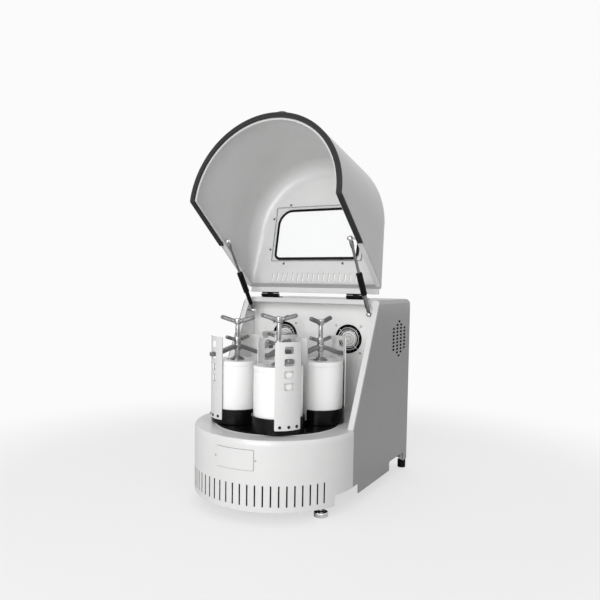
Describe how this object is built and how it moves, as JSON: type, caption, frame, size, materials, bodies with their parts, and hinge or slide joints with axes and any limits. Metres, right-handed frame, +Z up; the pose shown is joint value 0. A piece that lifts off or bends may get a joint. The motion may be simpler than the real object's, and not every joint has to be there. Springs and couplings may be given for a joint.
{
  "type": "planetary ball mill",
  "caption": "Benchtop planetary ball mill with a lifted hood on gas struts and upright white grinding jars, clamped by screws in black holders on a turntable.",
  "frame": {"origin": "middle of the footprint on the floor, with the hood open", "axes": "+Z up, -Y towards the half-round front, +X towards the side with the round grille"},
  "size_m": [0.47, 0.684, 1.0809],
  "materials": {
    "white_paint": "satin",
    "grey_paint": "gloss",
    "black_coat": "gloss",
    "black_plastic": "matte",
    "rubber": "matte",
    "steel": "brushed",
    "chrome": "polished",
    "jar_white": "glazed",
    "window": "clear",
    "cast_grey": "painted"
  },
  "bodies": {
    "frame": {"base_plate": "white_paint", "drum_shell": "white_paint", "casing": "white_paint", "chamber_back": "white_paint", "rear_panel": "white_paint", "power_inlet": "black_plastic", "motor": "cast_grey", "bearing_housing": "cast_grey", "drive_belt": "rubber", "levelling_foot_left": "chrome", "levelling_foot_right": "chrome", "rear_foot_left": "rubber", "rear_foot_right": "rubber", "fan_frame_left": "black_plastic", "fan_frame_right": "black_plastic", "hinge_leaf_left": "black_coat", "hinge_leaf_right": "black_coat"},
    "hood": {"hood_shell": "grey_paint", "hood_seal": "rubber", "window_pane": "window", "hood_handle": "chrome"},
    "strut_cylinder_left": {"strut_cylinder_left": "black_coat"},
    "strut_cylinder_right": {"strut_cylinder_right": "black_coat"},
    "strut_rod_left": {"strut_rod_left": "steel"},
    "strut_rod_right": {"strut_rod_right": "steel"},
    "fan_rotor_left": {"fan_rotor_left": "black_plastic"},
    "fan_rotor_right": {"fan_rotor_right": "black_plastic"},
    "motor_pulley": {"motor_pulley": "steel"},
    "turntable": {"turntable": "black_coat", "main_shaft": "steel", "planet_belt_1": "rubber", "planet_belt_2": "rubber"},
    "station_1": {"jar_holder_1": "black_coat", "jar_1": "jar_white", "jar_lid_1": "jar_white"},
    "crossbar_1": {"crossbar_1": "steel"},
    "pressure_pad_1": {"pressure_pad_1": "black_plastic"},
    "clamp_screw_1": {"clamp_screw_1": "steel"},
    "lock_nut_1": {"lock_nut_1": "steel"},
    "station_2": {"jar_holder_2": "black_coat", "jar_2": "jar_white", "jar_lid_2": "jar_white"},
    "crossbar_2": {"crossbar_2": "steel"},
    "pressure_pad_2": {"pressure_pad_2": "black_plastic"},
    "clamp_screw_2": {"clamp_screw_2": "steel"},
    "lock_nut_2": {"lock_nut_2": "steel"},
    "station_3": {"jar_holder_3": "black_coat", "jar_3": "jar_white", "jar_lid_3": "jar_white"},
    "crossbar_3": {"crossbar_3": "steel"},
    "pressure_pad_3": {"pressure_pad_3": "black_plastic"},
    "clamp_screw_3": {"clamp_screw_3": "steel"},
    "lock_nut_3": {"lock_nut_3": "steel"},
    "station_4": {"jar_holder_4": "black_coat", "jar_4": "jar_white", "jar_lid_4": "jar_white"},
    "crossbar_4": {"crossbar_4": "steel"},
    "pressure_pad_4": {"pressure_pad_4": "black_plastic"},
    "clamp_screw_4": {"clamp_screw_4": "steel"},
    "lock_nut_4": {"lock_nut_4": "steel"}
  },
  "joints": [
    {"name": "hood_hinge", "type": "hinge", "parent": "frame", "child": "hood", "pos_m": [0, 0.091, 0.567], "axis": [1, 0, 0], "range_deg": [0, 101.9]},
    {"name": "strut_pivot_left", "type": "hinge", "parent": "frame", "child": "strut_cylinder_left", "pos_m": [-0.201, 0.07, 0.517], "axis": [1, 0, 0], "range_deg": [0, 110.6]},
    {"name": "strut_slide_left", "type": "slide", "parent": "strut_cylinder_left", "child": "strut_rod_left", "axis": [0, -0.5672, 0.8236], "range_m": [-0.0785, 0]},
    {"name": "fan_spin_left", "type": "hinge", "parent": "frame", "child": "fan_rotor_left", "pos_m": [-0.1125, 0.14, 0.437], "axis": [0, 1, 0], "continuous": true},
    {"name": "strut_pivot_right", "type": "hinge", "parent": "frame", "child": "strut_cylinder_right", "pos_m": [0.201, 0.07, 0.517], "axis": [1, 0, 0], "range_deg": [0, 110.6]},
    {"name": "strut_slide_right", "type": "slide", "parent": "strut_cylinder_right", "child": "strut_rod_right", "axis": [0, -0.5672, 0.8236], "range_m": [-0.0785, 0]},
    {"name": "fan_spin_right", "type": "hinge", "parent": "frame", "child": "fan_rotor_right", "pos_m": [0.1125, 0.14, 0.437], "axis": [0, 1, 0], "continuous": true},
    {"name": "turntable_spin", "type": "hinge", "parent": "frame", "child": "turntable", "pos_m": [0, -0.107, 0.2], "axis": [0, 0, 1], "continuous": true},
    {"name": "motor_spin", "type": "hinge", "parent": "frame", "child": "motor_pulley", "pos_m": [0, 0.228, 0.08], "axis": [0, 0, 1], "continuous": true},
    {"name": "station_spin_1", "type": "hinge", "parent": "turntable", "child": "station_1", "pos_m": [0.059, -0.20919, 0.2], "axis": [0, 0, 1], "continuous": true},
    {"name": "crossbar_shift_1", "type": "slide", "parent": "station_1", "child": "crossbar_1", "axis": [0.7547, -0.6561, 0], "range_m": [-0.004, 0.004]},
    {"name": "pad_lift_1", "type": "slide", "parent": "crossbar_1", "child": "pressure_pad_1", "axis": [0, 0, 1], "range_m": [0, 0.012]},
    {"name": "screw_turn_1", "type": "hinge", "parent": "pressure_pad_1", "child": "clamp_screw_1", "pos_m": [0.059, -0.20919, 0.49], "axis": [0, 0, 1], "range_deg": [0, 2160]},
    {"name": "nut_turn_1", "type": "hinge", "parent": "clamp_screw_1", "child": "lock_nut_1", "pos_m": [0.059, -0.20919, 0.437], "axis": [0, 0, 1], "range_deg": [0, 360]},
    {"name": "station_spin_2", "type": "hinge", "parent": "turntable", "child": "station_2", "pos_m": [0.10219, -0.048, 0.2], "axis": [0, 0, 1], "continuous": true},
    {"name": "crossbar_shift_2", "type": "slide", "parent": "station_2", "child": "crossbar_2", "axis": [0.5446, 0.8387, 0], "range_m": [-0.004, 0.004]},
    {"name": "pad_lift_2", "type": "slide", "parent": "crossbar_2", "child": "pressure_pad_2", "axis": [0, 0, 1], "range_m": [0, 0.012]},
    {"name": "screw_turn_2", "type": "hinge", "parent": "pressure_pad_2", "child": "clamp_screw_2", "pos_m": [0.10219, -0.048, 0.49], "axis": [0, 0, 1], "range_deg": [0, 2160]},
    {"name": "nut_turn_2", "type": "hinge", "parent": "clamp_screw_2", "child": "lock_nut_2", "pos_m": [0.10219, -0.048, 0.437], "axis": [0, 0, 1], "range_deg": [0, 360]},
    {"name": "station_spin_3", "type": "hinge", "parent": "turntable", "child": "station_3", "pos_m": [-0.059, -0.00481, 0.2], "axis": [0, 0, 1], "continuous": true},
    {"name": "crossbar_shift_3", "type": "slide", "parent": "station_3", "child": "crossbar_3", "axis": [0.7547, -0.6561, 0], "range_m": [-0.004, 0.004]},
    {"name": "pad_lift_3", "type": "slide", "parent": "crossbar_3", "child": "pressure_pad_3", "axis": [0, 0, 1], "range_m": [0, 0.012]},
    {"name": "screw_turn_3", "type": "hinge", "parent": "pressure_pad_3", "child": "clamp_screw_3", "pos_m": [-0.059, -0.00481, 0.49], "axis": [0, 0, 1], "range_deg": [0, 2160]},
    {"name": "nut_turn_3", "type": "hinge", "parent": "clamp_screw_3", "child": "lock_nut_3", "pos_m": [-0.059, -0.00481, 0.437], "axis": [0, 0, 1], "range_deg": [0, 360]},
    {"name": "station_spin_4", "type": "hinge", "parent": "turntable", "child": "station_4", "pos_m": [-0.10219, -0.166, 0.2], "axis": [0, 0, 1], "continuous": true},
    {"name": "crossbar_shift_4", "type": "slide", "parent": "station_4", "child": "crossbar_4", "axis": [0.454, 0.891, 0], "range_m": [-0.004, 0.004]},
    {"name": "pad_lift_4", "type": "slide", "parent": "crossbar_4", "child": "pressure_pad_4", "axis": [0, 0, 1], "range_m": [0, 0.012]},
    {"name": "screw_turn_4", "type": "hinge", "parent": "pressure_pad_4", "child": "clamp_screw_4", "pos_m": [-0.10219, -0.166, 0.49], "axis": [0, 0, 1], "range_deg": [0, 2160]},
    {"name": "nut_turn_4", "type": "hinge", "parent": "clamp_screw_4", "child": "lock_nut_4", "pos_m": [-0.10219, -0.166, 0.437], "axis": [0, 0, 1], "range_deg": [0, 360]}
  ],
  "couplings": [
    {"joint": "strut_pivot_left", "follows": "hood_hinge", "ratio": 1.0831},
    {"joint": "strut_slide_left", "follows": "hood_hinge", "m_per_rad": -0.043868},
    {"joint": "strut_pivot_right", "follows": "hood_hinge", "ratio": 1.0831},
    {"joint": "strut_slide_right", "follows": "hood_hinge", "m_per_rad": -0.043868},
    {"joint": "motor_spin", "follows": "turntable_spin", "ratio": 2.9688},
    {"joint": "station_spin_1", "follows": "turntable_spin", "ratio": -2},
    {"joint": "pad_lift_1", "follows": "screw_turn_1", "m_per_rad": 0.00031831},
    {"joint": "station_spin_2", "follows": "turntable_spin", "ratio": -2},
    {"joint": "pad_lift_2", "follows": "screw_turn_2", "m_per_rad": 0.00031831},
    {"joint": "station_spin_3", "follows": "turntable_spin", "ratio": -2},
    {"joint": "pad_lift_3", "follows": "screw_turn_3", "m_per_rad": 0.00031831},
    {"joint": "station_spin_4", "follows": "turntable_spin", "ratio": -2},
    {"joint": "pad_lift_4", "follows": "screw_turn_4", "m_per_rad": 0.00031831}
  ]
}
